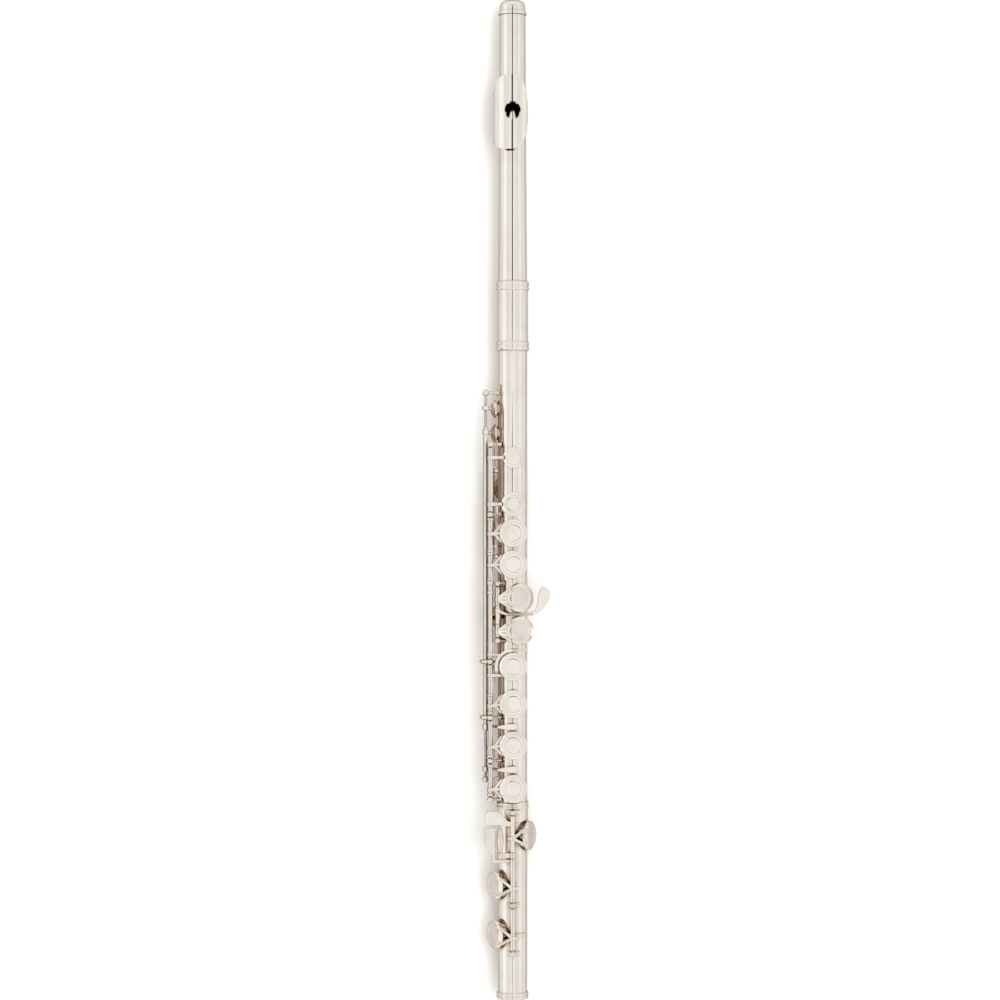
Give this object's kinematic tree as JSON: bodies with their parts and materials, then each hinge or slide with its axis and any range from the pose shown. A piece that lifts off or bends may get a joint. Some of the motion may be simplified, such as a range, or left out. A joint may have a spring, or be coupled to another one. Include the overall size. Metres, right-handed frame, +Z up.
{
  "type": "concert flute",
  "caption": "Transverse concert flute: a silver-plated tube in head, body and foot joints, with closed keys on rods, a lip plate and a crown.",
  "frame": {"origin": "centre of the open bore at the foot end", "axes": "+X along the tube, out of the foot end, so the crown is at -X; +Z up through the keys as played; -Y towards the player, where the rods are"},
  "size_m": [0.675, 0.0474, 0.0346],
  "materials": {
    "silver_tube": "polished silver plate",
    "silver_keys": "polished silver plate",
    "silver_fittings": "polished silver plate",
    "steel": "ground",
    "spring_steel": "blued",
    "brass": "turned",
    "cork": "natural cork",
    "pad_skin": "thin skin over felt"
  },
  "bodies": {
    "body": {"body_tube": "silver_tube", "barrel": "silver_tube", "post_rib": "silver_fittings", "rod_posts": "silver_fittings", "g_posts": "silver_fittings", "thumb_posts": "silver_fittings", "stack_steels": "steel", "thumb_steel": "steel", "needle_springs": "spring_steel"},
    "head_joint": {"head_tube": "silver_tube", "embouchure_riser": "silver_tube", "lip_plate": "silver_tube", "stopper_screw": "brass", "stopper_cork": "cork", "stopper_washer": "brass"},
    "crown": {"crown": "silver_tube"},
    "csharp_key": {"csharp_key": "silver_keys", "csharp_pad": "pad_skin", "touch_cork": "cork"},
    "bflat_key": {"bflat_key": "silver_keys", "bflat_pad": "pad_skin"},
    "a_key": {"a_key": "silver_keys", "a_pad": "pad_skin"},
    "fsharp_key": {"fsharp_key": "silver_keys", "fsharp_pad": "pad_skin"},
    "f_key": {"f_key": "silver_keys", "f_pad": "pad_skin"},
    "e_key": {"e_key": "silver_keys", "e_pad": "pad_skin"},
    "d_key": {"d_key": "silver_keys", "d_pad": "pad_skin"},
    "g_keys": {"upper_g_key": "silver_keys", "lower_g_key": "silver_keys", "g_steel": "steel", "g_pads": "pad_skin"},
    "gsharp_key": {"gsharp_key": "silver_keys", "gsharp_pad": "pad_skin"},
    "side_bflat_lever": {"side_bflat_lever": "silver_keys"},
    "d_trill_key": {"d_trill_key": "silver_keys", "d_trill_pad": "pad_skin"},
    "dsharp_trill_key": {"dsharp_trill_key": "silver_keys", "trill_steel": "steel", "dsharp_trill_pad": "pad_skin"},
    "thumb_b_key": {"thumb_b_key": "silver_keys", "thumb_b_pad": "pad_skin"},
    "thumb_bflat_lever": {"thumb_bflat_lever": "silver_keys"},
    "foot_joint": {"foot_tube": "silver_tube", "foot_end_ring": "silver_tube", "foot_socket_ring": "silver_tube", "foot_posts": "silver_fittings"},
    "eflat_key": {"eflat_key": "silver_keys", "eflat_pad": "pad_skin"},
    "low_csharp_key": {"low_csharp_key": "silver_keys", "low_csharp_pad": "pad_skin"},
    "low_c_key": {"low_c_key": "silver_keys", "low_c_lever": "silver_keys", "foot_steel": "steel", "low_c_pad": "pad_skin"},
    "low_c_roller": {"low_c_roller": "silver_fittings"}
  },
  "joints": [
    {"name": "csharp_key_hinge", "type": "hinge", "parent": "body", "child": "csharp_key", "pos_m": [-0.3509, -0.015, 0.0115], "axis": [-1, 0, 0], "range_deg": [0, 8], "stiffness_Nm_per_rad": 0.015, "springref_deg": -20.05},
    {"name": "bflat_key_hinge", "type": "hinge", "parent": "body", "child": "bflat_key", "pos_m": [-0.3135, -0.015, 0.0115], "axis": [-1, 0, 0], "range_deg": [0, 8], "stiffness_Nm_per_rad": 0.015, "springref_deg": -20.05},
    {"name": "a_key_hinge", "type": "hinge", "parent": "body", "child": "a_key", "pos_m": [-0.2925, -0.015, 0.0115], "axis": [-1, 0, 0], "range_deg": [0, 8], "stiffness_Nm_per_rad": 0.015, "springref_deg": -20.05},
    {"name": "fsharp_key_hinge", "type": "hinge", "parent": "body", "child": "fsharp_key", "pos_m": [-0.2156, -0.015, 0.0115], "axis": [-1, 0, 0], "range_deg": [0, 8], "stiffness_Nm_per_rad": 0.015, "springref_deg": -20.05},
    {"name": "f_key_hinge", "type": "hinge", "parent": "body", "child": "f_key", "pos_m": [-0.199, -0.015, 0.0115], "axis": [-1, 0, 0], "range_deg": [0, 8], "stiffness_Nm_per_rad": 0.015, "springref_deg": -20.05},
    {"name": "e_key_hinge", "type": "hinge", "parent": "body", "child": "e_key", "pos_m": [-0.1763, -0.015, 0.0115], "axis": [-1, 0, 0], "range_deg": [0, 8], "stiffness_Nm_per_rad": 0.015, "springref_deg": -20.05},
    {"name": "d_key_hinge", "type": "hinge", "parent": "body", "child": "d_key", "pos_m": [-0.1488, -0.015, 0.0115], "axis": [-1, 0, 0], "range_deg": [0, 8], "stiffness_Nm_per_rad": 0.015, "springref_deg": -20.05},
    {"name": "g_keys_hinge", "type": "hinge", "parent": "body", "child": "g_keys", "pos_m": [-0.26, -0.0101, 0.0116], "axis": [-1, 0, 0], "range_deg": [0, 8], "stiffness_Nm_per_rad": 0.015, "springref_deg": -20.05},
    {"name": "gsharp_key_hinge", "type": "hinge", "parent": "body", "child": "gsharp_key", "pos_m": [-0.26, -0.0101, 0.0116], "axis": [-1, 0, 0], "range_deg": [0, 7], "stiffness_Nm_per_rad": 0.015, "springref_deg": -20.05},
    {"name": "side_bflat_lever_hinge", "type": "hinge", "parent": "body", "child": "side_bflat_lever", "pos_m": [-0.257, -0.015, 0.0115], "axis": [-1, 0, 0], "range_deg": [0, 5], "stiffness_Nm_per_rad": 0.015, "springref_deg": -20.05},
    {"name": "d_trill_key_hinge", "type": "hinge", "parent": "body", "child": "d_trill_key", "pos_m": [-0.284, -0.0182, 0.008], "axis": [-1, 0, 0], "range_deg": [0, 5.5], "stiffness_Nm_per_rad": 0.015, "springref_deg": -20.05},
    {"name": "dsharp_trill_key_hinge", "type": "hinge", "parent": "body", "child": "dsharp_trill_key", "pos_m": [-0.279, -0.0182, 0.008], "axis": [-1, 0, 0], "range_deg": [0, 5.5], "stiffness_Nm_per_rad": 0.015, "springref_deg": -20.05},
    {"name": "thumb_b_key_hinge", "type": "hinge", "parent": "body", "child": "thumb_b_key", "pos_m": [-0.34, -0.014, -0.0025], "axis": [1, 0, 0], "range_deg": [0, 7], "stiffness_Nm_per_rad": 0.015, "springref_deg": -20.05},
    {"name": "thumb_bflat_lever_hinge", "type": "hinge", "parent": "body", "child": "thumb_bflat_lever", "pos_m": [-0.313, -0.014, -0.0025], "axis": [1, 0, 0], "range_deg": [0, 6], "stiffness_Nm_per_rad": 0.015, "springref_deg": -20.05},
    {"name": "eflat_key_hinge", "type": "hinge", "parent": "foot_joint", "child": "eflat_key", "pos_m": [-0.112, 0, 0.0126], "axis": [1, 0, 0], "range_deg": [0, 7], "stiffness_Nm_per_rad": 0.015, "springref_deg": -20.05},
    {"name": "low_csharp_key_hinge", "type": "hinge", "parent": "foot_joint", "child": "low_csharp_key", "pos_m": [-0.081, 0, 0.0126], "axis": [1, 0, 0], "range_deg": [0, 7], "stiffness_Nm_per_rad": 0.015, "springref_deg": -20.05},
    {"name": "low_c_key_hinge", "type": "hinge", "parent": "foot_joint", "child": "low_c_key", "pos_m": [-0.079, 0, 0.0126], "axis": [1, 0, 0], "range_deg": [0, 7], "stiffness_Nm_per_rad": 0.015, "springref_deg": -20.05},
    {"name": "head_tuning_slide", "type": "slide", "parent": "body", "child": "head_joint", "axis": [-1, 0, 0], "range_m": [0, 0.012]},
    {"name": "crown_turn", "type": "hinge", "parent": "head_joint", "child": "crown", "pos_m": [-0.67, 0, 0], "axis": [-1, 0, 0], "range_deg": [-360, 360]},
    {"name": "foot_swivel", "type": "hinge", "parent": "body", "child": "foot_joint", "pos_m": [-0.127, 0, 0], "axis": [1, 0, 0], "range_deg": [-20, 20]},
    {"name": "low_c_roller_turn", "type": "hinge", "parent": "low_c_key", "child": "low_c_roller", "pos_m": [-0.1086, -0.0084, 0.01393], "axis": [1, 0, 0], "continuous": true}
  ],
  "couplings": [
    {"joint": "fsharp_key_hinge", "follows": "f_key_hinge", "ratio": 1},
    {"joint": "bflat_key_hinge", "follows": "a_key_hinge", "ratio": 1}
  ]
}
